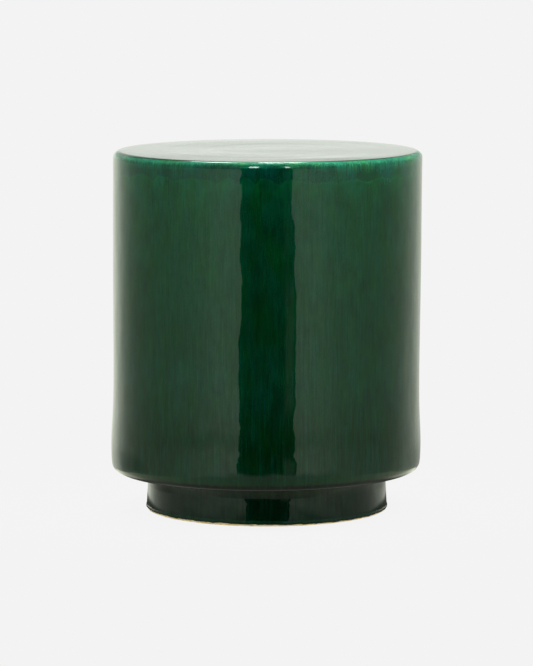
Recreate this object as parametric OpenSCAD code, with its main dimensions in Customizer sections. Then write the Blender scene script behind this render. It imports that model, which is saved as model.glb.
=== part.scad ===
// Ceramic drum side table, also used as a low stool: a closed glazed drum that
// stands on a narrower foot ring and is open underneath. Millimetres, +Z up,
// with the origin on the floor at the middle of the foot.
//
// The clay body is four pieces luted together (top slab, drum wall, base ring,
// foot ring) with a coil of clay pressed into each inside corner. Three coats
// of glaze cover it outside, and the foot's lowest edge is left bare.

/* [Drum] */
// Height from the floor to the top of the rim
table_h = 417; // [390:1:450]
// Diameter over the glazed side
drum_d = 357.6; // [340:0.2:390]
// Radius of the rounded rim round the top
rim_r = 8; // [6:0.5:12]
// Radius of the rounded edge round the bottom of the drum
heel_r = 8; // [5:0.5:9]

/* [Foot] */
// Height of the foot below the drum
foot_h = 46; // [35:1:60]
// Diameter of the glazed foot where it meets the drum
foot_top_d = 277; // [270:0.2:290]
// Diameter of the glazed foot at its lower edge
foot_bottom_d = 281; // [276:0.2:296]
// Height of the bare clay edge that stands on the floor
bare_edge_h = 3; // [1.5:0.5:6]

/* [Clay] */
// Thickness of the drum's wall
wall_t = 8; // [7:0.5:11]
// Thickness of the top slab at its middle
top_t = 11; // [10:0.5:16]
// Thickness of the base ring
base_t = 10; // [9.5:0.5:14]
// Thickness of the foot's wall at its top
foot_t = 12; // [10:0.5:16]
// Diameter of the opening in the base ring
base_opening_d = 200; // [140:5:220]
// Size of the coil between wall and top slab
top_coil = 14; // [8:1:18]
// Size of the coil between wall and base ring
base_coil = 11; // [8:1:14]
// Size of the coil between foot and base ring
foot_coil = 9; // [6:1:12]

/* [Glaze] */
// Thickness of the coats on the drum
glaze_t = 1.6; // [0.6:0.1:1.8]
// Thickness of the coat on the foot
foot_glaze_t = 0.8; // [0.4:0.1:1.2]
// Distance that the top coat laps down the side
lap_h = 24; // [16:1:40]
// Size of the bead of glaze pooled in the corner above the foot
pool_size = 4; // [2:0.5:6]

/* [Hidden] */
$fn = 96;

clay_colour = "burlywood";
coil_colour = "tan";
top_glaze_colour = "darkgreen";
side_glaze_colour = "#0b4a2c";

// Radii from the table's axis
glaze_r = drum_d / 2;
clay_r = glaze_r - glaze_t;
wall_inner_r = clay_r - wall_t;
foot_top_r = foot_top_d / 2;
foot_bottom_r = foot_bottom_d / 2;
foot_clay_r = foot_top_r - foot_glaze_t;
foot_inner_r = foot_clay_r - foot_t;
base_opening_r = base_opening_d / 2;

// Heights above the floor
base_under_z = foot_h + glaze_t;
base_top_z = base_under_z + base_t;
slab_under_z = table_h - glaze_t - top_t;
lap_z = table_h - lap_h;

// Small bevel round the foot's standing edge
foot_bevel = 1.5;
// A fillet's edges stay this share of its size thick
blunt_edge = 0.1;

// Half outline of the drum at a depth below the glaze's outer surface
module drum_outline(depth) {
    r = glaze_r - depth;
    top_z = table_h - depth;
    under_z = foot_h + depth;
    rim = rim_r - depth;
    heel = heel_r - depth;
    translate([0, under_z])
        square([r - heel, top_z - rim - under_z]);
    translate([0, under_z + heel])
        square([r, top_z - rim - under_z - heel]);
    translate([0, top_z - rim])
        square([r - rim, rim]);
    translate([r - rim, top_z - rim])
        circle(rim);
    translate([r - heel, under_z + heel])
        circle(heel);
}

// Half outline of the flared foot, filled to the axis, at a depth below its glaze
module foot_outline(depth) {
    polygon([
        [0, 0], [foot_bottom_r - depth, 0],
        [foot_top_r - depth, foot_h], [foot_top_r - depth, base_under_z], [0, base_under_z]
    ]);
}

// Band of the half plane between two heights
module band(low_z, high_z) {
    translate([0, low_z])
        square([drum_d, high_z - low_z]);
}

// Concave fillet in a corner at the origin; out and up are 1 or -1, the ways it grows
module corner_fillet(size, out, up) {
    arc_centre = size * (1 + blunt_edge);
    difference() {
        translate([out < 0 ? -size : 0, up < 0 ? -size : 0])
            square(size);
        translate([out * arc_centre, up * arc_centre])
            circle(size);
    }
}

// Ring of clay pressed into a corner at radius r and height z
module corner_coil(r, z, size, out, up) {
    color(coil_colour)
        rotate_extrude()
            translate([r, z])
                corner_fillet(size, out, up);
}

// Top of the drum: a flat slab with the rounded rim
module top_slab() {
    color(clay_colour)
        rotate_extrude()
            intersection() {
                drum_outline(glaze_t);
                band(slab_under_z, table_h);
            }
}

// Side of the drum: a plain tube between base ring and top slab
module drum_wall() {
    wall_h = slab_under_z - base_top_z;
    color(clay_colour)
        translate([0, 0, base_top_z])
            difference() {
                cylinder(h = wall_h, r = clay_r);
                translate([0, 0, -1])
                    cylinder(h = wall_h + 2, r = wall_inner_r);
            }
}

// Bottom of the drum: a flat ring with the rounded lower edge and a round opening
module base_ring() {
    color(clay_colour)
        rotate_extrude()
            difference() {
                intersection() {
                    drum_outline(glaze_t);
                    band(base_under_z, base_top_z);
                }
                square([base_opening_r, table_h]);
            }
}

// Flared ring that the drum stands on, with bevelled standing edges
module foot_ring() {
    outer_r = foot_bottom_r - foot_glaze_t;
    color(clay_colour)
        rotate_extrude()
            difference() {
                foot_outline(foot_glaze_t);
                square([foot_inner_r, base_under_z]);
                polygon([[outer_r - foot_bevel, 0], [outer_r + 1, 0], [outer_r + 1, foot_bevel + 1]]);
                polygon([
                    [foot_inner_r, 0], [foot_inner_r + foot_bevel, 0], [foot_inner_r, foot_bevel]
                ]);
            }
}

// Coils of clay in the inside corners
module top_corner_coil() {
    corner_coil(wall_inner_r, slab_under_z, top_coil, -1, -1);
}

module base_corner_coil() {
    corner_coil(wall_inner_r, base_top_z, base_coil, -1, 1);
}

module foot_corner_coil() {
    corner_coil(foot_inner_r, base_under_z, foot_coil, -1, -1);
}

// Skin of glaze on the drum between two heights
module drum_glaze(low_z, high_z) {
    rotate_extrude()
        difference() {
            intersection() {
                drum_outline(0);
                band(low_z, high_z);
            }
            drum_outline(glaze_t);
            square([foot_clay_r, base_under_z]);
        }
}

// Second coat: the top, the rim and the lap down the side
module glaze_top_coat() {
    color(top_glaze_colour)
        drum_glaze(lap_z, table_h);
}

// First coat: the side, the lower edge and the underside as far as the foot
module glaze_side_coat() {
    color(side_glaze_colour)
        drum_glaze(foot_h, lap_z);
}

// Coat on the outside of the foot, ending above the bare standing edge
module glaze_foot_coat() {
    color(side_glaze_colour)
        rotate_extrude()
            intersection() {
                difference() {
                    foot_outline(0);
                    foot_outline(foot_glaze_t);
                }
                band(bare_edge_h, foot_h);
            }
}

// Bead of glaze pooled in the corner between drum and foot
module glaze_pool() {
    flare = (foot_bottom_r - foot_top_r) * pool_size / foot_h;
    color(side_glaze_colour)
        rotate_extrude()
            polygon([
                [foot_top_r, foot_h], [foot_top_r + pool_size, foot_h],
                [foot_top_r + flare, foot_h - pool_size]
            ]);
}

top_slab();
drum_wall();
base_ring();
foot_ring();
top_corner_coil();
base_corner_coil();
foot_corner_coil();
glaze_top_coat();
glaze_side_coat();
glaze_foot_coat();
glaze_pool();
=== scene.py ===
"""Green-glazed ceramic drum side table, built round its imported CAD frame.

The CAD holds the drum as clay pieces and coats of glaze. Here each coat is rebuilt as a closed, uneven
skin of melted glaze (the rims, runs, laps and beads that a kiln leaves), the foot's clay ring gets its rough
standing edge, and every piece gets a procedural material.
"""

import math

import bpy
import numpy as np
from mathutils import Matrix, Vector


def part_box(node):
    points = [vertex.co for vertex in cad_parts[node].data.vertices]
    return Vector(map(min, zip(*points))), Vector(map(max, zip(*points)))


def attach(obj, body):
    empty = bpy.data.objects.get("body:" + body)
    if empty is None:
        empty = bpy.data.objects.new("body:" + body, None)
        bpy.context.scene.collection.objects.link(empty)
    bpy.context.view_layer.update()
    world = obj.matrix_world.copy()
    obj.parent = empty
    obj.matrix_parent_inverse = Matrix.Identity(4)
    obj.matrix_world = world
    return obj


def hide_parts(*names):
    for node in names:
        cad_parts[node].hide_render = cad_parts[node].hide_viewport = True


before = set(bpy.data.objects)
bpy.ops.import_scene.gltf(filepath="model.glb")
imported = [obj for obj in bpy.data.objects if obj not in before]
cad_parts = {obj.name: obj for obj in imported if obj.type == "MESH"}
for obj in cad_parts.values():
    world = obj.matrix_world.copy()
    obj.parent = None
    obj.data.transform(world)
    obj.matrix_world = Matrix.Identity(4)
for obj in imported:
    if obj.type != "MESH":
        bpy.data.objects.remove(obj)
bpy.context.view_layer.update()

MM = 0.001
TAU = 2 * math.pi
DEGREES = 180 / math.pi
scene = bpy.context.scene

# ---------------------------------------------------------------- sizes, from the CAD nodes

DRUM_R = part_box("glaze_top_coat")[1].x
TOP_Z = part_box("glaze_top_coat")[1].z
LAP_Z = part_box("glaze_top_coat")[0].z
UNDER_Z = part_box("glaze_side_coat")[0].z
CLAY_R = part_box("drum_wall")[1].x
COAT_T = DRUM_R - CLAY_R
FOOT_TOP_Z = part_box("foot_ring")[1].z
POOL_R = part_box("glaze_pool")[1].x
POOL_LOW_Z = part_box("glaze_pool")[0].z
POOL_SIZE = UNDER_Z - POOL_LOW_Z
FOOT_TOP_R = POOL_R - POOL_SIZE

# Sizes of the CAD's that no node's box gives: the foot's flare, glaze and clay, and the drum's two corners
FOOT_BOTTOM_R = FOOT_TOP_R + 2 * MM
FOOT_T = 0.8 * MM
FOOT_CLAY_T = 12 * MM
RIM_R = 8 * MM
HEEL_R = 8 * MM

# The top falls off toward the rim from CROWN_R outward, and the whole of it rises a hair toward the front
CROWN_R = 128 * MM
CROWN_DROP = 0.35 * MM
TOP_TILT = 0.28 * MM
# How far the second coat stands out over the first at the lap
LAP_SKIN = 0.07 * MM
# The drum's underside isn't quite level: its rise all round, and what is added at the right and at the back
DROOP = -0.15 * MM
DROOP_RIGHT = 0.90 * MM
DROOP_BACK = 0.35 * MM
# Where the shallow dent under the rim is, as an angle from +X: just right of the front
DENT_ANGLE = math.radians(13 - 90)


# ---------------------------------------------------------------- smooth uneven surfaces


def smooth(x, low, high):
    """0 below low, 1 above high, and an S-curve between."""
    t = np.clip((np.asarray(x, float) - low) / (high - low), 0, 1)
    return t * t * (3 - 2 * t)


def bump_at(x, centre, width):
    """1 at centre, and a smooth fall to nothing on both sides."""
    return np.exp(-(((np.asarray(x, float) - centre) / width) ** 2))


class Ripple:
    """Smooth random relief, seamless round the table: a sum of waves of about one wavelength."""

    def __init__(self, seed, radius, round_mm, up_mm, count=24):
        rng = np.random.RandomState(seed)
        self.waves = []
        for _ in range(count):
            way = rng.uniform(0, TAU)
            turns = round(TAU * radius / MM / round_mm * math.cos(way) * rng.uniform(0.6, 1.5))
            climb = TAU / (up_mm * MM) * math.sin(way) * rng.uniform(0.6, 1.5)
            self.waves.append((turns, climb, rng.uniform(0, TAU)))
        self.scale = math.sqrt(2 / count)

    def __call__(self, angle, z):
        total = 0
        for turns, climb, phase in self.waves:
            total = total + np.cos(turns * angle + climb * z + phase)
        return total * self.scale


class Edge:
    """Irregular line round the table, as a height: waves from long to short, each with its own share."""

    def __init__(self, seed, parts):
        rng = np.random.RandomState(seed)
        self.waves = []
        for turns, vary, size, count in parts:
            for _ in range(count):
                n = max(1, round(turns * (1 + vary * rng.uniform(-1, 1))))
                self.waves.append((n, size * rng.uniform(0.5, 1.2) / math.sqrt(count), rng.uniform(0, TAU)))

    def __call__(self, angle):
        return sum(size * np.cos(n * angle + phase) for n, size, phase in self.waves)


side_swell = Ripple(11, DRUM_R, 90, 120, 20)
side_ripple = Ripple(12, DRUM_R, 34, 44, 26)
side_fine = Ripple(13, DRUM_R, 11, 24, 30)
foot_ripple = Ripple(14, FOOT_TOP_R, 26, 30, 20)
lap_waver = Edge(21, [(46, 0.3, 0.8 * MM, 5), (110, 0.3, 0.5 * MM, 5)])
foot_edge_line = Edge(22, [(24, 0.4, 0.26 * MM, 5), (70, 0.4, 0.24 * MM, 6), (150, 0.3, 0.14 * MM, 6)])


def lean(z):
    """The thrown drum leans a hair: the shift of its axis along X at a height. The foot stands true."""
    z = np.asarray(z, float)
    return (-1.35 + 2.50 * z / TOP_Z) * MM * smooth(z, UNDER_Z - 2 * MM, UNDER_Z + 4 * MM)


def droop(angle, z):
    """How far the drum's underside stands above its true height, fading out up the side."""
    share = 1 - smooth(z, UNDER_Z + 6 * MM, UNDER_Z + 26 * MM)
    return (DROOP + DROOP_RIGHT * np.cos(angle) + DROOP_BACK * np.sin(angle)) * share


def lap_line(angle):
    """Height of the second coat's lower edge: rounded lobes of the first coat stand up between short drips."""
    bend = 19 * angle + 1.6 * np.sin(2 * angle + 0.7) + 1.1 * np.sin(5 * angle + 2.1) + 0.7 * np.sin(11 * angle)
    tall = 6.0 + 2.0 * np.sin(3 * angle + 1.0) + 1.4 * np.sin(8 * angle + 2.0)
    return LAP_Z - 2.5 * MM + tall * MM * np.abs(np.sin(bend)) ** 0.8 + lap_waver(angle)


def side_relief(angle, z):
    """How far the drum's glazed side stands out from a true cylinder. It bulges just above the heel, draws in over
    that, and has the dent in front."""
    bulge = 1.4 * bump_at(z, 77 * MM, 30 * MM)
    waist = 0.78 * bump_at(z, 165 * MM, 70 * MM) + 0.18 * smooth(z, 90 * MM, 140 * MM)
    uneven = 0.055 * side_swell(angle, z) + 0.022 * side_ripple(angle, z) + 0.0035 * side_fine(angle, z)
    dent = 0.40 * bump_at(np.sin(angle - DENT_ANGLE), 0, 0.062) * smooth(z, 345 * MM, 372 * MM)
    dent = dent * (np.sin(angle) < 0)
    return (bulge - waist + uneven - dent) * MM * smooth(z, UNDER_Z, UNDER_Z + 14 * MM)


# ---------------------------------------------------------------- meshes


def ring_solid(name, loops, segments, closed=True, edge=None):
    """A solid of revolution. loops is a list of functions of the angles, each giving the (x, y, z) of one ring,
    in order round the section; the last ring joins the first. Where closed is False the section starts and ends
    on the axis, and its two end rings are closed with a fan. edge(angle) is the height of the line that the
    colour of the glaze follows: the lap, unless another is given."""
    angles = np.arange(segments) / segments * TAU
    rings = [np.stack([np.broadcast_to(c, angles.shape) for c in loop(angles)], 1) for loop in loops]
    verts = np.concatenate(rings)
    n, rows = segments, len(rings)
    here = np.arange(n)
    ahead = (here + 1) % n
    faces = []
    for i in range(rows if closed else rows - 1):
        j = (i + 1) % rows
        faces.append(np.stack([i * n + here, i * n + ahead, j * n + ahead, j * n + here], 1))
    quads = np.concatenate(faces)[:, ::-1]
    tris = np.zeros((0, 3), int)
    if not closed:
        ends = [verts[:n].mean(0), verts[-n:].mean(0)]
        base = len(verts)
        verts = np.concatenate([verts, ends])
        last = (rows - 1) * n
        tris = np.concatenate([
            np.stack([np.full(n, base), ahead, here], 1)[:, ::-1],
            np.stack([np.full(n, base + 1), last + here, last + ahead], 1)[:, ::-1],
        ])
    mesh = bpy.data.meshes.new(name)
    mesh.from_pydata(verts.tolist(), [], quads.tolist() + tris.tolist())
    mesh.validate()
    mesh.update()
    mesh.shade_smooth()
    line = (edge or lap_line)(np.arctan2(verts[:, 1], verts[:, 0]))
    above = mesh.attributes.new("above_edge", "FLOAT", "POINT")
    above.data.foreach_set("value", (verts[:, 2] - line).astype(np.float32))
    piece = bpy.data.objects.new(name, mesh)
    scene.collection.objects.link(piece)
    return piece


def round_profile(points, relief=None, shift=True, tip=0.0):
    """Rings for section points (r, z, outward r, outward z): relief(angle, z) pushes each point out, and tip
    lifts the front of the rim."""
    loops = []
    for r, z, nr, nz in points:
        def loop(angles, r=r, z=z, nr=nr, nz=nz):
            push = relief(angles, z) if relief else 0.0
            radius, height = r + nr * push, z + nz * push + (droop(angles, z) if shift else 0.0)
            return (
                radius * np.cos(angles) + (lean(z) if shift else 0.0),
                radius * np.sin(angles),
                height - tip * nz * np.sin(angles),
            )
        loops.append(loop)
    return loops


def spread(low, high, step):
    """Evenly spaced values from low to high, about step apart, both ends included."""
    count = max(1, round(abs(high - low) / step))
    return np.linspace(low, high, count + 1)


# Swells left in the top by the potter's hand: centre x, y, half width, half depth and height, all in mm
TOP_SWELLS = [
    (-75, -70, 52, 38, 0.26), (-70, 35, 55, 38, -0.18), (82, -132, 52, 36, 0.36), (70, 10, 60, 45, 0.10),
    (2, 70, 45, 28, -0.12), (0, 0, 42, 28, 0.10), (2, -88, 36, 28, 0.12), (-30, 120, 60, 36, 0.10),
    (95, 85, 50, 40, -0.10), (-120, 5, 36, 50, 0.08), (125, -30, 30, 45, -0.08),
]


def top_relief(angle, r):
    """Slow swells and a wheel's faint swirl in the top's glaze, as heights, with the tilt."""
    x, y = r * np.cos(angle), r * np.sin(angle)
    slow = 0.0
    for cx, cy, wide, deep, high in TOP_SWELLS:
        slow = slow + high * bump_at(x, cx * MM, wide * MM) * bump_at(y, cy * MM, deep * MM)
    swirl = 0.018 * np.cos(TAU * r / (41 * MM) + 2 * angle) + 0.006 * np.cos(TAU * r / (19 * MM) + 3 * angle + 1.0)
    uneven = (slow + swirl * smooth(r, 10 * MM, 50 * MM) - 0.12) * MM * (1 - smooth(r, 140 * MM, 170 * MM))
    return uneven - TOP_TILT * y / (DRUM_R - RIM_R)


def make_top_coat():
    """Second coat: the nearly flat top, the rounded rim, and a lap that thins out down the side in scallops."""
    crest_r, turn_z = DRUM_R - RIM_R, TOP_Z - RIM_R

    def top_loop(r):
        drop = CROWN_DROP * max(0.0, (r - CROWN_R) / (crest_r - CROWN_R)) ** 2

        def loop(a):
            across = r * np.cos(a) + lean(TOP_Z) * smooth(r, 50 * MM, 150 * MM)
            return (across, r * np.sin(a), TOP_Z - drop + top_relief(a, r))
        return loop

    loops = [top_loop(r) for r in spread(2 * MM, 160 * MM, 3.2 * MM)]
    loops += [top_loop(r) for r in spread(162.5 * MM, crest_r, 2 * MM)]
    arc = []
    for t in spread(0, math.pi / 2, math.radians(4))[1:]:
        sag = CROWN_DROP * math.cos(t)
        arc.append((crest_r + RIM_R * math.sin(t), turn_z + RIM_R * math.cos(t) - sag, math.sin(t), math.cos(t)))
    loops += round_profile(arc, rim_relief, tip=TOP_TILT)

    # The lap thins out over fade, and its edge dives by bury under the first coat over a further dive
    fade, dive, bury = 8 * MM, 4 * MM, 0.04 * MM
    steps = np.linspace(0, 1, 17)[1:]

    def side_loop(share, inner):
        def loop(a):
            low = lap_line(a) - 2 * MM
            z = turn_z - share * (turn_z - low + dive)
            thick = LAP_SKIN * smooth(z, low, low + fade) - bury * smooth(low - z, 0, dive)
            out = side_relief(a, z) - LAP_SKIN + (-2 * bury if inner else thick)
            return ((DRUM_R + out) * np.cos(a) + lean(z), (DRUM_R + out) * np.sin(a), z)
        return loop

    loops += [side_loop(s, False) for s in steps]
    loops += [side_loop(s, True) for s in steps[::-1] if s * (turn_z - LAP_Z) > 2 * MM]
    inner = [(CLAY_R, turn_z - 0.2 * MM)]
    inside_r = RIM_R - COAT_T
    for t in spread(math.pi / 2, 0, math.radians(15)):
        inner.append((crest_r + inside_r * math.sin(t), turn_z + inside_r * math.cos(t)))
    inner += [(r, TOP_Z - COAT_T) for r in (120 * MM, 60 * MM, 2 * MM)]
    loops += round_profile([(r, z, 0, 0) for r, z in inner], shift=False)
    return ring_solid("glaze_top", loops, 420, closed=False)


def rim_relief(angle, z):
    """The side's relief, fading out over the rim."""
    share = smooth(z, TOP_Z - RIM_R, TOP_Z - 0.3 * RIM_R)
    return side_relief(angle, z) * (1 - share)


def make_side_coat():
    """First coat: the side, from under the lap to the rounded lower edge, and the underside as far as the foot."""
    high = TOP_Z - RIM_R - 1.0 * MM
    turn_z = UNDER_Z + HEEL_R
    crest_r = DRUM_R - HEEL_R
    points = [(DRUM_R - LAP_SKIN, z, 1, 0) for z in spread(high, turn_z + 2 * MM, 2.2 * MM)]
    for t in spread(0, math.pi / 2, math.radians(6)):
        r = crest_r + (HEEL_R - LAP_SKIN * (1 - t / 1.6)) * math.cos(t)
        points.append((r, turn_z - HEEL_R * math.sin(t), math.cos(t), -math.sin(t)))
    points += [(r, UNDER_Z, 0, -1) for r in spread(crest_r - 3 * MM, FOOT_TOP_R, 4 * MM)]
    loops = round_profile(points, side_relief)
    inner = [(FOOT_TOP_R - FOOT_T, UNDER_Z + COAT_T), (crest_r, UNDER_Z + COAT_T)]
    for t in spread(math.pi / 2, 0, math.radians(15)):
        reach = HEEL_R - COAT_T
        inner.append((crest_r + reach * math.cos(t), turn_z - reach * math.sin(t)))
    inner += [(CLAY_R, z) for z in spread(turn_z + 5 * MM, high, 60 * MM)]
    loops += round_profile([(r, z, 0, 0) for r, z in inner], shift=False)
    return ring_solid("glaze_side", loops, 440)


def foot_profile(z):
    """Radius of the glazed foot. From its waist it spreads a little up into the drum, and flares to the floor."""
    z = np.asarray(z, float)
    flare = 1.5 * MM * np.clip((29.5 * MM - z) / (25.5 * MM), 0, 1.15) ** 1.4
    neck = 1.0 * MM * np.clip((z - 30 * MM) / (16 * MM), 0, 1.1) ** 1.6
    return FOOT_TOP_R + 0.15 * MM + flare + neck


def foot_edge(angle):
    """Height of the glaze's lower edge on the foot: it stands highest a little left of the front."""
    thin = 0.85 * bump_at(np.sin((angle + math.radians(107)) / 2), 0, 0.26)
    return np.maximum((1.15 - 0.2 * np.cos(angle) + thin) * MM + foot_edge_line(angle), 0.35 * MM)


def make_foot_coat():
    """Coat on the foot, thickened to a roll along its ragged lower edge above the bare clay."""
    roll, roll_h = 0.4 * MM, 3.6 * MM

    def outer_loop(share):
        def loop(a):
            low = foot_edge(a)
            z = low + share * (UNDER_Z - 0.2 * MM - low)
            above = (z - low) / roll_h
            bead = roll * np.where(above < 1, np.sin(np.clip(above, 0, 1) * math.pi) ** 0.8, 0.0)
            tuck = FOOT_T * (1 - np.sqrt(np.clip(above * 2.5, 0, 1)))
            r = foot_profile(z) + 0.03 * MM * foot_ripple(a, z) + bead - tuck
            return (r * np.cos(a) + lean(z), r * np.sin(a), z)
        return loop

    def inner_loop(share):
        def loop(a):
            low = foot_edge(a) + 0.05 * MM
            z = low + share * (UNDER_Z - 0.2 * MM - low)
            r = foot_profile(z) - FOOT_T
            return (r * np.cos(a) + lean(z), r * np.sin(a), z)
        return loop

    shares = np.concatenate([np.linspace(0, 0.10, 11), np.linspace(0.12, 1, 30)])
    loops = [outer_loop(s) for s in shares[::-1]]
    loops += [inner_loop(s) for s in np.linspace(0, 1, 8)]
    return ring_solid("glaze_foot", loops, 720, edge=foot_edge)


def make_pool():
    """Bead of glaze drawn into the corner between the underside and the foot."""
    high = UNDER_Z + 0.4 * MM
    uneven = Edge(23, [(9, 0.4, 0.35 * MM, 3), (40, 0.4, 0.2 * MM, 4)])

    def face(t):
        def loop(a):
            size = POOL_SIZE * 1.1 + uneven(a)
            z = high - 0.4 * MM - size * (1 - math.cos(t))
            r = foot_profile(z) - 0.1 * MM + size * (1 - math.sin(t))
            return (r * np.cos(a) + lean(z), r * np.sin(a), z + droop(a, z))
        return loop

    loops = [face(t) for t in spread(0, math.pi / 2, math.radians(9))]
    back = foot_profile(POOL_LOW_Z) - 0.5 * MM
    low = UNDER_Z - 1.1 * POOL_SIZE
    loops += round_profile([(back, low, 0, 0), (back, high, 0, 0), (POOL_R + 0.6 * MM, high, 0, 0)])
    return ring_solid("glaze_pool_bead", loops, 480)


def make_foot_clay():
    """The foot's clay ring: grog-rough where it is bare, with a worn and chipped standing edge."""
    grain = Ripple(31, FOOT_TOP_R, 5, 5, 40)
    coarse = Ripple(32, FOOT_TOP_R, 17, 17, 30)
    wear = Edge(33, [(30, 0.5, 0.25 * MM, 6), (110, 0.4, 0.15 * MM, 8)])
    inner_r = FOOT_TOP_R - FOOT_T - FOOT_CLAY_T

    def outer(z):
        def loop(a):
            rough = (0.06 * grain(a, z) + 0.05 * coarse(a, z)) * MM * (1 - smooth(z, 4 * MM, 10 * MM))
            round_off = (0.5 * MM + wear(a)) * (1 - smooth(z, 0.0, 1.6 * MM)) ** 2
            r = foot_profile(np.asarray(z)) - FOOT_T - 0.02 * MM + rough - round_off
            return (r * np.cos(a) + lean(z), r * np.sin(a), z + 0 * a)
        return loop

    heights = [[FOOT_TOP_Z], spread(UNDER_Z - 1 * MM, 10 * MM, 6 * MM), spread(8 * MM, 0.0, 0.5 * MM)]
    loops = [outer(z) for z in np.concatenate(heights)]
    for r in spread(FOOT_BOTTOM_R - 2.6 * MM, inner_r + 1.5 * MM, 3 * MM):
        loops += round_profile([(r, 0, 0, 0)], shift=False)
    loops += round_profile([(inner_r, 1.5 * MM, 0, 0), (inner_r, 20 * MM, 0, 0), (inner_r, FOOT_TOP_Z, 0, 0)],
                           shift=False)
    return ring_solid("foot_clay", loops, 720)


# ---------------------------------------------------------------- node helpers


class Graph:
    """Short calls for building a node tree."""

    def __init__(self, tree):
        self.tree = tree
        tree.nodes.clear()

    def add(self, kind, settings=None, **sockets):
        node = self.tree.nodes.new(kind)
        for key, value in (settings or {}).items():
            setattr(node, key, value)
        for key, value in sockets.items():
            self.put(node.inputs[key.replace("_", " ")], value)
        return node

    def put(self, socket, value):
        if isinstance(value, bpy.types.NodeSocket):
            self.tree.links.new(value, socket)
        else:
            socket.default_value = value

    def math(self, operation, *values, clamp=False):
        node = self.add("ShaderNodeMath", {"operation": operation, "use_clamp": clamp})
        for socket, value in zip(node.inputs, values):
            self.put(socket, value)
        return node.outputs[0]

    def step(self, value, low, high, to_low=0.0, to_high=1.0):
        """S-curve from to_low at low to to_high at high."""
        node = self.add("ShaderNodeMapRange", {"interpolation_type": "SMOOTHSTEP"})
        for key, v in (("Value", value), ("From Min", low), ("From Max", high), ("To Min", to_low),
                       ("To Max", to_high)):
            self.put(node.inputs[key], v)
        return node.outputs[0]

    def ramp(self, value, low, high, stops):
        """stops is a list of (value, number or colour) between low and high."""
        node = self.add("ShaderNodeValToRGB")
        band = node.color_ramp
        while len(band.elements) < len(stops):
            band.elements.new(0.5)
        for element, (at, _) in zip(band.elements, stops):
            element.position = (at - low) / (high - low)
        for element, (_, out) in zip(band.elements, stops):
            element.color = (*out, 1) if isinstance(out, tuple) else (out, out, out, 1)
        share = self.add("ShaderNodeMapRange")
        for key, v in (("Value", value), ("From Min", low), ("From Max", high)):
            self.put(share.inputs[key], v)
        self.put(node.inputs[0], share.outputs[0])
        return node.outputs[0]

    def mix(self, share, a, b, blend="MIX"):
        """Colour a where share is 0, and b where it is 1."""
        node = self.add("ShaderNodeMix", {"data_type": "RGBA", "blend_type": blend})
        for socket, value in ((node.inputs[0], share), (node.inputs[6], a), (node.inputs[7], b)):
            self.put(socket, value)
        return node.outputs[2]

    def blend_value(self, share, a, b):
        """Number a where share is 0, and b where it is 1."""
        node = self.add("ShaderNodeMix", {"data_type": "FLOAT"})
        for socket, value in ((node.inputs[0], share), (node.inputs[2], a), (node.inputs[3], b)):
            self.put(socket, value)
        return node.outputs[0]

    def blend(self, share, a, b):
        """Shader node a where share is 0, and b where it is 1."""
        node = self.add("ShaderNodeMixShader")
        for socket, value in zip(node.inputs, (share, a.outputs[0], b.outputs[0])):
            self.put(socket, value)
        return node

    def noise(self, at, scale, detail, roughness):
        node = self.add("ShaderNodeTexNoise", Scale=scale, Detail=detail, Roughness=roughness)
        self.put(node.inputs["Vector"], at)
        return node.outputs[0]

    def split(self, vector):
        node = self.add("ShaderNodeSeparateXYZ")
        self.put(node.inputs[0], vector)
        return node.outputs

    def join(self, x, y, z):
        node = self.add("ShaderNodeCombineXYZ")
        for socket, value in zip(node.inputs, (x, y, z)):
            self.put(socket, value)
        return node.outputs[0]

    def stretch(self, vector, x, y, z):
        node = self.add("ShaderNodeVectorMath", {"operation": "MULTIPLY"})
        self.put(node.inputs[0], vector)
        self.put(node.inputs[1], (x, y, z))
        return node.outputs[0]


def new_material(name):
    material = bpy.data.materials.new(name)
    material.use_nodes = True
    return material, Graph(material.node_tree)


# ---------------------------------------------------------------- materials

GLAZE_IOR = 1.5

# Colour of the melted glaze by height in metres, with painted light and shade in it: down the drum's side, on the
# foot, and in the bead above it
DRUM_COLOURS_AND_SHADE = [
    # Near black on the heel's underside: painted shade
    (0.046, (0.0020, 0.0030, 0.0008)),
    (0.0519, (0.0022, 0.0036, 0.0009)),
    # From here up, lighter toward the top, partly as painted light from above
    (0.0543, (0.0008, 0.0215, 0.0060)),
    (0.090, (0.0002, 0.0190, 0.0022)),
    (0.128, (0.0002, 0.0255, 0.0056)),
    (0.172, (0.0006, 0.0345, 0.0110)),
    (0.225, (0.0002, 0.0290, 0.0070)),
    (0.300, (0.0002, 0.0355, 0.0100)),
    (0.355, (0.0002, 0.0405, 0.0120)),
    (0.378, (0.0003, 0.0490, 0.0156)),
    (0.394, (0.0005, 0.0670, 0.0212)),
    (0.417, (0.0005, 0.0670, 0.0212)),
]
FOOT_COLOURS_AND_REFLECTION = [
    (0.000, (0.0010, 0.0120, 0.0050)),
    (0.012, (0.0006, 0.0095, 0.0032)),
    (0.030, (0.0006, 0.0090, 0.0030)),
    # Lighter at the foot's top: painted reflection
    (0.037, (0.0110, 0.0170, 0.0100)),
    (0.047, (0.0160, 0.0230, 0.0120)),
]
# The bead's pale colour is a painted highlight
POOL_HIGHLIGHT_COLOURS = [(0.000, (0.026, 0.048, 0.018)), (0.047, (0.026, 0.048, 0.018))]

# The second coat: where it is thick, where it is thin, and along its lower edge
SECOND_THICK = (0.0003, 0.037, 0.0170, 1)
SECOND_THIN = (0.0006, 0.047, 0.0225, 1)
SECOND_EDGE = (0.0003, 0.029, 0.0125, 1)
# Pale glaze over the rim, partly thin glaze and partly painted light and highlight, and the bluer runs low on the
# side
RIM_TEAL = (0.100, 0.74, 0.42, 1)
RIM_GREEN = (0.070, 0.64, 0.27, 1)
BLUE_RUN = (0.0004, 0.0360, 0.0180, 1)
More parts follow.
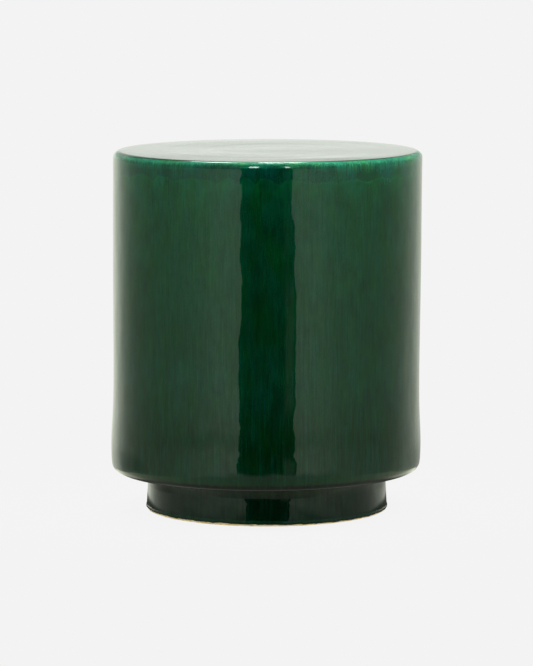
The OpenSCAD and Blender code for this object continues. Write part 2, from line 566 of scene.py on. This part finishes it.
# The foot's lower edge: the pale line over the roll, partly thinner glaze and partly a painted highlight, and the
# thick roll itself
FOOT_LINE_AND_HIGHLIGHT = (0.0060, 0.042, 0.022, 1)
FOOT_ROLL = (0.0006, 0.0050, 0.0024, 1)
SPECK_AND_GLINT = (0.22, 0.42, 0.30, 1)

# How pale the rim's glaze is, partly thin glaze and partly painted light and highlight, by how far the rim has
# turned from level (0) to upright (90 degrees)
RIM_PALENESS_AND_LIGHT = [(-90, 0.0), (2, 0.0), (13, 0.05), (21, 0.45), (29, 0.80), (38, 0.58), (50, 0.29), (60, 0.15),
                (75, 0.06), (92, 0.0), (180, 0.0)]
# How much light comes back from inside the glaze, by height in metres: least on the heel's underside, as painted
# shade, and more toward the top
INNER_LIGHT_AND_HEEL_SHADE = [(0.0, 0.5), (0.0519, 0.10), (0.0545, 0.42), (0.09, 0.51), (0.13, 0.57), (0.17, 0.64),
               (0.225, 0.76), (0.30, 0.89), (0.36, 0.94), (0.417, 0.92)]


def over_lap(g, colour, edge, runs, blots, clouds):
    """The second coat's lap: darker and bluer above its line of lobes, darkest along its edge."""
    lap = g.math("MULTIPLY_ADD", g.math("SUBTRACT", runs, 0.5), 5 * MM, edge)
    lap = g.math("MULTIPLY_ADD", g.math("SUBTRACT", blots, 0.5), 6 * MM, lap)
    second = g.mix(g.step(clouds, 0.38, 0.62), SECOND_THICK, SECOND_THIN)
    second = g.mix(g.step(lap, 9.5 * MM, 1.5 * MM, 0.0, 0.5), second, SECOND_EDGE)
    return g.mix(g.step(lap, -1.2 * MM, 2.2 * MM), colour, second)


def over_rim_with_painted_light(g, colour, radius, z, off, runs, tint):
    """Thin glaze over the rim shows pale, and breaks up in fine runs; the pale band is also painted light and
    highlight. off is the angle from the front, in radians:
    away from the front the pale band lies lower and is fainter, though less so at the right, as painted light
    brightest toward the camera."""
    over = g.math("DIVIDE", g.math("SUBTRACT", radius, DRUM_R - RIM_R), RIM_R)
    up = g.math("DIVIDE", g.math("SUBTRACT", z, TOP_Z - RIM_R), RIM_R)
    turn = g.math("MULTIPLY", g.math("ARCTAN2", over, up), DEGREES)
    # Painted light: the pale band is weaker and lower away from the front, where the camera stands, and stronger at
    # the right
    aside = g.step(g.math("ABSOLUTE", off), 0.20, 0.75)
    turn = g.math("MULTIPLY", turn, g.math("MULTIPLY_ADD", aside, -0.24, 1.0))
    turn = g.math("MULTIPLY_ADD", aside, -4.0, turn)
    front_right = g.math("MULTIPLY", g.step(off, 0.15, 0.38), g.step(off, 0.80, 0.50))
    turn = g.math("MULTIPLY", turn, g.math("MULTIPLY_ADD", front_right, -0.14, 1.0))
    fray = g.step(turn, 14.0, 36.0, -12.0, -46.0)
    turn = g.math("MULTIPLY_ADD", g.math("SUBTRACT", runs, 0.5), fray, turn)
    pale_and_lit = g.ramp(turn, -90, 180, RIM_PALENESS_AND_LIGHT)
    pale_and_lit = g.math("MULTIPLY", pale_and_lit, g.math("MULTIPLY_ADD", aside, -0.36, 0.82))
    pale_and_lit = g.math("MULTIPLY", pale_and_lit, g.step(off, 0.05, 0.40, 1.0, 1.35))
    return g.mix(pale_and_lit, colour, g.mix(g.step(tint, 0.38, 0.62), RIM_TEAL, RIM_GREEN))


def heel_painted_shade(g, gloss, off, low_z):
    """Painted shade: the heel's underside loses gloss across the front, most of all toward the two ends of that,
    which darkens its reflection.
    """
    wide = g.math("ABSOLUTE", off)
    heel_shade_share = g.math("MULTIPLY", g.step(wide, 0.80, 1.05, 0.32, 0.86), g.step(wide, 1.27, 1.12))
    heel_shade_share = g.math("MULTIPLY", heel_shade_share, g.step(low_z, UNDER_Z + 5.6 * MM, UNDER_Z + 3.4 * MM))
    return g.math("MULTIPLY", gloss, g.math("SUBTRACT", 1.0, heel_shade_share))


def build_glaze(part, colours_and_painted_light, coat, glow):
    """Deep glossy glaze for one part: drum, foot or pool. coat is its outer gloss, and glow the share of light
    that comes back green from inside it."""
    material, g = new_material("glaze_" + part)
    place = g.add("ShaderNodeTexCoord").outputs["Object"]
    x, y, z = g.split(place)
    radius = g.math("SQRT", g.math("ADD", g.math("MULTIPLY", x, x), g.math("MULTIPLY", y, y)))
    off = g.math("ARCTAN2", x, g.math("MULTIPLY", y, -1.0))
    edge = g.add("ShaderNodeAttribute", {"attribute_name": "above_edge"}).outputs["Fac"]

    # Patterns drawn out down the side, from thin runs to broad soft clouds
    runs = g.noise(g.stretch(place, 1, 1, 0.075), 640.0, 2.0, 0.6)
    broad_runs = g.noise(g.stretch(place, 1, 1, 0.16), 170.0, 3.0, 0.6)
    long_runs = g.noise(g.stretch(place, 1, 1, 0.030), 330.0, 3.0, 0.65)
    clouds = g.noise(g.stretch(place, 1, 1, 0.8), 46.0, 4.0, 0.6)
    blots = g.noise(g.stretch(place, 1, 1, 0.85), 95.0, 2.0, 0.5)
    tint = g.noise(g.stretch(place, 1, 1, 0.40), 64.0, 3.0, 0.55)
    pitted = g.noise(g.stretch(place, 1, 1, 0.45), 280.0, 3.0, 0.6)
    veil = g.noise(g.stretch(place, 1, 1, 0.040), 520.0, 3.0, 0.62)

    # Soft shifts of height, so that no zone of colour ends on a ruled line
    drift = g.math("MULTIPLY", g.math("SUBTRACT", clouds, 0.5), 30 * MM)
    drift = g.math("MULTIPLY", drift, g.step(z, 56 * MM, 80 * MM))
    # The lowest zones follow the underside's droop
    level = g.math("MULTIPLY_ADD", y, -DROOP_BACK / DRUM_R, -DROOP)
    level = g.math("MULTIPLY_ADD", x, -DROOP_RIGHT / DRUM_R, level)
    low_z = g.math("MULTIPLY_ADD", level, g.step(z, 70 * MM, 54 * MM), z)
    colour = g.ramp(g.math("ADD", low_z, drift), 0.0, TOP_Z, colours_and_painted_light)

    if part == "foot":
        # Pale line over the roll: thinner glaze and painted highlight
        colour = g.mix(g.step(edge, 5.4 * MM, 3.4 * MM), colour, FOOT_LINE_AND_HIGHLIGHT)
        colour = g.mix(g.step(edge, 2.7 * MM, 1.8 * MM), colour, FOOT_ROLL)
    elif part == "drum":
        colour = over_lap(g, colour, edge, runs, blots, clouds)
        # Pale rim: thin glaze, with painted light and highlight
        colour = over_rim_with_painted_light(g, colour, radius, z, off, runs, tint)

    # Long runs of bluer glaze toward the bottom
    low = g.math("MULTIPLY", g.step(z, 300 * MM, 120 * MM, 0.35, 1.0), g.step(z, 50 * MM, 58 * MM, 0.30, 1.0))
    blue = g.math("MULTIPLY", g.step(long_runs, 0.49, 0.66), g.math("MULTIPLY", low, 0.75))
    colour = g.mix(blue, colour, BLUE_RUN)
    sunk = g.math("MULTIPLY", g.step(long_runs, 0.47, 0.34), low)

    # Runs and clouds: every hue keeps its place, only the depth of the glaze changes
    depth = g.math("MULTIPLY_ADD", g.math("SUBTRACT", runs, 0.5), 1.15, 1.0)
    depth = g.math("MULTIPLY_ADD", sunk, -0.22, depth)
    depth = g.math("MULTIPLY_ADD", g.math("SUBTRACT", broad_runs, 0.5), 0.85, depth)
    depth = g.math("MULTIPLY_ADD", g.math("SUBTRACT", clouds, 0.5), 0.95, depth)
    depth = g.math("MULTIPLY_ADD", g.step(blots, 0.36, 0.26), -0.16, depth)
    shade = g.join(depth, depth, g.math("MULTIPLY", depth, g.step(tint, 0.32, 0.68, 0.62, 1.38)))
    colour = g.mix(1.0, colour, shade, "MULTIPLY")

    # A few pinholes and pale specks; the specks' paleness is partly a painted glint on tiny bubbles
    cells = g.add("ShaderNodeTexVoronoi", {"feature": "F1"}, Scale=38.0, Randomness=1.0)
    g.put(cells.inputs["Vector"], place)
    chosen = g.math("GREATER_THAN", g.split(cells.outputs["Color"])[0], 0.90)
    speck_and_glint = g.math("MULTIPLY", chosen, g.step(cells.outputs["Distance"], 0.026, 0.012))
    colour = g.mix(g.math("MULTIPLY", speck_and_glint, 0.6), colour, SPECK_AND_GLINT)

    # Relief too fine for the mesh: faint runs in the surface, and the specks
    relief = g.math("MULTIPLY_ADD", g.noise(g.stretch(place, 1, 1, 0.28), 230.0, 3.0, 0.6), 1.0,
                    g.math("MULTIPLY", speck_and_glint, 2.0))
    skin = g.add("ShaderNodeBump", Strength=1.0, Distance=0.014 * MM)
    g.put(skin.inputs["Height"], relief)

    # Fine vertical runs dull the gloss here and there, and the light from inside even more
    veil = g.math("MULTIPLY_ADD", g.math("SUBTRACT", veil, 0.5), 1.0,
                  g.math("MULTIPLY", g.math("SUBTRACT", blots, 0.5), 0.30))
    inner = g.ramp(low_z, 0.0, TOP_Z, INNER_LIGHT_AND_HEEL_SHADE)
    inner = g.math("MULTIPLY", inner, g.math("MULTIPLY_ADD", veil, 1.1, 1.0), clamp=True)
    gloss = g.math("MULTIPLY_ADD", g.math("SUBTRACT", pitted, 0.5), 0.30, coat)
    if part == "foot":
        # Painted shade: the foot's gloss is cut in front, where the camera stands, to darken its reflection there
        gloss = g.math("MULTIPLY", gloss, g.step(g.math("ABSOLUTE", off), 0.52, 0.30, 1.0, 0.66))
    elif part == "drum":
        # Painted shade on the heel's underside, by cutting its gloss in front
        gloss = heel_painted_shade(g, gloss, off, low_z)

    shader = g.add("ShaderNodeBsdfPrincipled", Roughness=0.20, IOR=GLAZE_IOR)
    shader.inputs["Specular IOR Level"].default_value = 0.5
    g.put(shader.inputs["Specular Tint"], g.mix(inner, (0, 0, 0, 1), (0.0, glow, 0.50 * glow, 1)))
    g.put(shader.inputs["Coat Weight"], g.math("MULTIPLY_ADD", veil, 0.60, gloss))
    shader.inputs["Coat Roughness"].default_value = 0.02
    shader.inputs["Coat IOR"].default_value = GLAZE_IOR
    g.put(shader.inputs["Base Color"], colour)
    g.put(shader.inputs["Normal"], skin.outputs[0])
    g.put(shader.inputs["Coat Normal"], skin.outputs[0])
    out = g.add("ShaderNodeOutputMaterial")
    g.put(out.inputs["Surface"], shader.outputs[0])
    return material


CLAY_DARK = (0.82, 0.60, 0.24, 1)
CLAY_LIGHT = (0.90, 0.74, 0.36, 1)
CLAY_STAIN = (0.30, 0.20, 0.09, 1)
CLAY_GROG = (0.16, 0.11, 0.06, 1)
CLAY_SAND = (0.88, 0.78, 0.50, 1)


def build_clay(name, stained):
    """Bare fired clay: sandy, flecked with grog, and stained where the glaze has seeped in."""
    material, g = new_material(name)
    place = g.add("ShaderNodeTexCoord").outputs["Object"]
    grog = g.add("ShaderNodeTexVoronoi", {"feature": "F1"}, Scale=900.0, Randomness=1.0)
    g.put(grog.inputs["Vector"], place)
    body = g.noise(place, 60.0, 4.0, 0.6)
    sand = g.noise(place, 1400.0, 2.0, 0.6)
    stain = g.noise(place, 170.0, 3.0, 0.6)
    colour = g.mix(g.step(body, 0.35, 0.65), CLAY_DARK, CLAY_LIGHT)
    colour = g.mix(g.math("MULTIPLY", g.step(stain, 0.50, 0.75), stained), colour, CLAY_STAIN)
    fleck = g.math("MULTIPLY", g.math("GREATER_THAN", g.split(grog.outputs["Color"])[1], 0.9),
                   g.step(grog.outputs["Distance"], 0.45, 0.2))
    colour = g.mix(g.math("MULTIPLY", fleck, 0.6), colour, CLAY_GROG)
    colour = g.mix(g.math("MULTIPLY", sand, 0.30), colour, CLAY_SAND)
    relief = g.add("ShaderNodeBump", Strength=0.6, Distance=0.2 * MM)
    g.put(relief.inputs["Height"], g.math("ADD", sand, g.math("MULTIPLY", body, 2.0)))
    shader = g.add("ShaderNodeBsdfPrincipled", Roughness=0.85)
    g.put(shader.inputs["Base Color"], colour)
    g.put(shader.inputs["Normal"], relief.outputs[0])
    out = g.add("ShaderNodeOutputMaterial")
    g.put(out.inputs["Surface"], shader.outputs[0])
    return material


# ---------------------------------------------------------------- the table

drum_glaze = build_glaze("drum", DRUM_COLOURS_AND_SHADE, 0.89, 0.85)
foot_glaze = build_glaze("foot", FOOT_COLOURS_AND_REFLECTION, 0.86, 0.60)
# The bead's pale colour and strong green glow are a painted highlight along it
pool_glaze = build_glaze("pool", POOL_HIGHLIGHT_COLOURS, 0.80, 2.40)
bare_clay = build_clay("bare_clay", 0.5)
coil_clay = build_clay("coil_clay", 0.2)

pieces = {}
for make, node, slot, material in (
    (make_top_coat, "glaze_top_coat", "green_glaze_top", drum_glaze),
    (make_side_coat, "glaze_side_coat", "green_glaze", drum_glaze),
    (make_foot_coat, "glaze_foot_coat", "green_glaze", foot_glaze),
    (make_pool, "glaze_pool", "green_glaze", pool_glaze),
    (make_foot_clay, "foot_ring", "bare_clay", bare_clay),
):
    piece = make()
    pieces[node] = piece
    piece.data.materials.append(material)
    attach(piece, "root")
    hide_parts(node)

for node, slot, material in (
    ("top_slab", "bare_clay", bare_clay),
    ("drum_wall", "bare_clay", bare_clay),
    ("base_ring", "bare_clay", bare_clay),
    ("top_corner_coil", "clay_coil", coil_clay),
    ("base_corner_coil", "clay_coil", coil_clay),
    ("foot_corner_coil", "clay_coil", coil_clay),
):
    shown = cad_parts[node]
    shown.data.materials.clear()
    shown.data.materials.append(material)

# ---------------------------------------------------------------- floor, light and camera

PAPER = 0.896  # the studio's white, as the camera sees it
NEAR_PAPER = 0.882  # what the floor round the foot gives by itself; the lamps add the rest
FLOOR_HALF = 9.0
# Shade under the drum as the glaze mirrors it: behind and beside the foot, and in front of it
SHADE_BEHIND = (0.055, 0.057, 0.048, 1)
SHADE_IN_FRONT = (0.28, 0.295, 0.26, 1)
# The room's light as the glaze gives it back: up from the floor, from the low walls, and from above
FLOOR_TONE = (1.0, 1.05, 0.80, 1)
LOW_TONE = (1.0, 1.05, 0.90, 1)
HIGH_TONE = (1.0, 1.04, 0.965, 1)

# The room, in degrees. A bearing is 0 in front, where the camera stands, and 180 behind; a rise is 0 at the
# level of the table, and negative below it. Light of the walls by bearing to either side:
WALLS = [(0, 0.78), (36, 0.76), (43, 0.66), (57, 0.50), (75, 0.38), (92, 0.30), (112, 0.285), (123, 0.34),
         (133, 0.43), (141, 0.60), (149, 0.71), (160, 0.80), (180, 0.82)]
# How the back wall's light changes with rise, as a share of its light by bearing
BACK_WALL = [(-20, 0.78), (-9.2, 0.80), (-7.9, 1.0), (3.2, 1.18), (4.5, 1.06), (5.6, 0.90), (7.0, 0.76),
             (9.0, 0.66), (16, 0.55), (40, 0.50)]
CEILING = [(20, 0.13), (48, 0.15), (70, 0.34), (90, 0.40)]
# Light of the floor by bearing to either side
FLOOR = [(0, 0.28), (12, 0.30), (25, 0.38), (50, 0.44), (90, 0.50), (115, 0.62), (132, 0.95), (150, 1.15),
         (180, 0.95)]
# The dark gap in front: bearings of its left and right edges, by rise
GAP_LEFT = [(-14, 21.2), (-9.3, 21.2), (-8.4, 21.2), (-7.7, 20.1), (-6.9, 19.9), (-6.3, 20.4), (-5.7, 19.6),
            (-4.9, 18.8), (-4.1, 19.9), (-3.2, 20.4), (0, 19.6), (15, 19.7), (35, 21.3), (45, 23.2), (60, 27.6)]
GAP_RIGHT = [(-14, 22.1), (-9.3, 22.1), (-8.4, 22.0), (-7.7, 22.4), (-7.0, 21.4), (-5.9, 20.4), (-5.1, 20.2),
             (-4.4, 21.1), (-3.4, 21.7), (0, 18.8), (15, 17.8), (35, 19.4), (45, 21.0), (60, 25.4)]
GAP_BLUR = 0.25

# The camera, in metres and degrees, and its lens in mm
CAMERA_AT = (-0.0003, -4.640, 0.786)
CAMERA_DOWN = 7.154
LENS = 217.6
SENSOR = 36.0


def build_floor():
    """Pale paper floor. A glossy ray passes through it, but for the shade close round the foot."""
    mesh = bpy.data.meshes.new("floor")
    corners = [(-FLOOR_HALF, -FLOOR_HALF, 0), (FLOOR_HALF, -FLOOR_HALF, 0), (FLOOR_HALF, FLOOR_HALF, 0),
               (-FLOOR_HALF, FLOOR_HALF, 0)]
    mesh.from_pydata(corners, [], [(0, 1, 2, 3)])
    floor = bpy.data.objects.new("floor", mesh)
    scene.collection.objects.link(floor)
    material, g = new_material("floor_white")
    x, y, _ = g.split(g.add("ShaderNodeTexCoord").outputs["Object"])
    away = g.math("SQRT", g.math("ADD", g.math("MULTIPLY", x, x), g.math("MULTIPLY", y, y)))

    lit = g.add("ShaderNodeBsdfDiffuse", Color=(0.03, 0.03, 0.03, 1))
    glow = g.add("ShaderNodeEmission", Color=(NEAR_PAPER, NEAR_PAPER, NEAR_PAPER, 1), Strength=1.0)
    near = g.add("ShaderNodeAddShader")
    g.put(near.inputs[0], lit.outputs[0])
    g.put(near.inputs[1], glow.outputs[0])
    flat = g.add("ShaderNodeEmission", Color=(PAPER, PAPER, PAPER, 1), Strength=1.0)
    paper = g.blend(g.step(away, 0.20, 0.40), near, flat)

    front = g.step(y, -0.02, -0.13)
    shade = g.add("ShaderNodeEmission", Strength=1.0)
    g.put(shade.inputs["Color"], g.mix(front, SHADE_BEHIND, SHADE_IN_FRONT))
    shade_from = g.math("MULTIPLY_ADD", front, 0.026, 0.172)
    shade_to = g.math("MULTIPLY_ADD", front, 0.057, 0.208)
    mirrored = g.blend(g.step(away, shade_from, shade_to), shade, g.add("ShaderNodeBsdfTransparent"))

    either = g.blend(g.add("ShaderNodeLightPath").outputs["Is Glossy Ray"], paper, mirrored)
    out = g.add("ShaderNodeOutputMaterial")
    g.put(out.inputs["Surface"], either.outputs[0])
    mesh.materials.append(material)


def dimmed(g, light, where, share):
    """light, less share of it where where is 1."""
    return g.math("MULTIPLY", light, g.math("MULTIPLY_ADD", where, -share, 1.0))


def wall_light(g, bearing, rise, off):
    """Light of the walls. off is the bearing to either side."""
    walls = g.ramp(off, 0, 180, WALLS)
    # The back wall fades upward and toward the floor
    behind = g.step(off, 135, 152)
    fade = g.ramp(rise, -20, 40, BACK_WALL)
    walls = g.math("MULTIPLY", walls, g.math("MULTIPLY_ADD", behind, g.math("SUBTRACT", fade, 1.0), 1.0))
    # Above the level of the eye the side walls are dimmer, and in front they are dimmer from lower up
    walls = dimmed(g, walls, g.math("MULTIPLY", g.step(rise, -5.0, -1.0), g.step(off, 150, 125)), 0.4)
    walls = dimmed(g, walls, g.math("MULTIPLY", g.step(rise, -2.6, -1.0), g.step(off, 68, 50)), 0.30)
    # The far right wall is dimmer, and both side walls are near the floor
    walls = dimmed(g, walls, g.math("MULTIPLY", g.step(bearing, 128, 146), g.step(bearing, 178, 170)), 0.28)
    near_floor = g.step(rise, -7.0, -10.2)
    left_wall = g.math("MULTIPLY", g.step(bearing, -149, -136), g.step(bearing, -94, -112))
    walls = dimmed(g, walls, g.math("MULTIPLY", left_wall, near_floor), 0.52)
    return dimmed(g, walls, g.math("MULTIPLY", g.step(bearing, 126, 140), near_floor), 0.25)


def gap_share(g, bearing, rise):
    """1 inside the dark gap in front and 0 outside it, with a little light along the inside of its right edge."""
    left = g.ramp(rise, -14, 60, [(at, edge / 100) for at, edge in GAP_LEFT])
    right = g.ramp(rise, -14, 60, [(at, edge / 100) for at, edge in GAP_RIGHT])
    left_of = g.math("MULTIPLY_ADD", left, -100.0, g.math("MULTIPLY", bearing, -1.0))
    right_of = g.math("MULTIPLY_ADD", right, -100.0, bearing)
    inside = g.math("MULTIPLY", g.step(left_of, GAP_BLUR, -GAP_BLUR), g.step(right_of, GAP_BLUR, -GAP_BLUR))
    inside = g.math("MULTIPLY", inside, g.step(rise, -13.0, -11.6))
    inside = g.math("MULTIPLY", inside, g.step(rise, 66.0, 58.0))
    strip = g.math("MULTIPLY", g.step(right_of, -9.2, -6.8), g.step(right_of, -0.7, -2.2))
    strip = g.math("MULTIPLY", strip, g.step(rise, -5.6, -8.2, 0.15, 1.0))
    return g.math("MULTIPLY", inside, g.math("MULTIPLY_ADD", strip, -0.20, 0.985))


def build_studio():
    """White walls all round, dimmer overhead and at the sides, with a dark gap in front where the camera stands."""
    world = bpy.data.worlds.new("studio")
    scene.world = world
    world.use_nodes = True
    g = Graph(world.node_tree)
    x, y, z = g.split(g.add("ShaderNodeTexCoord").outputs["Generated"])
    bearing = g.math("MULTIPLY", g.math("ARCTAN2", x, g.math("MULTIPLY", y, -1.0)), DEGREES)
    rise = g.math("MULTIPLY", g.math("ARCSINE", z), DEGREES)
    off = g.math("ABSOLUTE", bearing)

    # Side walls end well above the table; the back wall ends lower
    over = g.math("SUBTRACT", rise, g.step(off, 105, 135, 52.0, 24.0))
    light = g.blend_value(g.step(over, -3.0, 3.0), wall_light(g, bearing, rise, off),
                          g.ramp(rise, 20, 90, CEILING))
    light = g.math("MULTIPLY", light, g.math("SUBTRACT", 1.0, gap_share(g, bearing, rise)))

    # The floor, as the glaze sees it: brighter at the sides, dark right under the drum
    floor_light = g.math("MULTIPLY", g.ramp(off, 0, 180, FLOOR), g.step(rise, -82.0, -62.0, 0.35, 1.0))
    aside = g.step(off, 40, 72)
    down = g.step(g.math("MULTIPLY_ADD", aside, 2.4, rise), -11.3, -12.9)
    light = g.blend_value(down, light, floor_light)

    tone = g.mix(g.step(rise, -13.0, -17.0), LOW_TONE, FLOOR_TONE)
    tone = g.mix(g.step(rise, -4.0, 1.0), tone, HIGH_TONE)
    seen = g.add("ShaderNodeLightPath").outputs["Is Camera Ray"]
    tone = g.mix(seen, tone, (1, 1, 1, 1))
    light = g.blend_value(seen, light, PAPER)
    sky = g.add("ShaderNodeBackground", Strength=1.0)
    g.put(sky.inputs["Color"], g.mix(1.0, tone, g.join(light, light, light), "MULTIPLY"))
    out = g.add("ShaderNodeOutputWorld")
    g.put(out.inputs["Surface"], sky.outputs[0])


def add_lamp(name, bearing, rise, distance, size, radiance, even=True, glossy=True, only=None):
    """A soft lamp aimed at the rim. It gives even light, or shows in the glaze, or both. With only, it lights
    nothing but that piece."""
    aim = Vector((0, 0, TOP_Z))
    a, e = math.radians(bearing), math.radians(rise)
    way = Vector((math.sin(a) * math.cos(e), -math.cos(a) * math.cos(e), math.sin(e)))
    data = bpy.data.lights.new(name, "AREA")
    data.shape = "RECTANGLE"
    data.size, data.size_y = size
    data.energy = radiance * math.pi * size[0] * size[1]
    lamp = bpy.data.objects.new(name, data)
    lamp.location = aim + way * distance
    lamp.rotation_mode = "QUATERNION"
    lamp.rotation_quaternion = way.to_track_quat("Z", "Y")
    lamp.visible_diffuse = even
    lamp.visible_glossy = glossy
    lamp.visible_camera = False
    scene.collection.objects.link(lamp)
    if only:
        lit = bpy.data.collections.new(name + "_lights")
        lit.objects.link(only)
        lamp.light_linking.receiver_collection = lit


def build_camera():
    """A long lens a little above the table's top, as far off as the ellipses of the top and foot ask."""
    data = bpy.data.cameras.new("camera")
    data.sensor_width = SENSOR
    data.lens = LENS
    data.clip_end = 60.0
    camera = bpy.data.objects.new("camera", data)
    camera.location = CAMERA_AT
    camera.rotation_euler = (math.radians(90 - CAMERA_DOWN), 0, 0)
    scene.collection.objects.link(camera)
    scene.camera = camera


build_floor()
build_studio()
top_coat = pieces["glaze_top_coat"]
# Softboxes behind, whose light runs along the rim
add_lamp("softbox_back_left", -157.5, 58.0, 2.2, (0.42, 0.42), 11.0)
add_lamp("softbox_back_right", 175.2, 58.0, 2.2, (0.34, 0.42), 15.0)
add_lamp("softbox_back_middle", -178.0, 58.0, 2.2, (0.14, 0.40), 2.5)
# Two that show only as dashes in the rim, in front
add_lamp("lamp_front_left", -10.3, 25.5, 2.4, (0.26, 0.92), 14.0, even=False, only=top_coat)
add_lamp("lamp_front_right", 15.2, 25.5, 2.4, (0.15, 0.88), 12.0, even=False, only=top_coat)
# Even light from the sides, with no reflection
add_lamp("fill_left", -75.0, 42.0, 0.9, (0.50, 0.50), 5.0, glossy=False)
add_lamp("fill_right", 75.0, 42.0, 0.9, (0.50, 0.50), 5.5, glossy=False)
build_camera()
scene.view_settings.view_transform = "Standard"
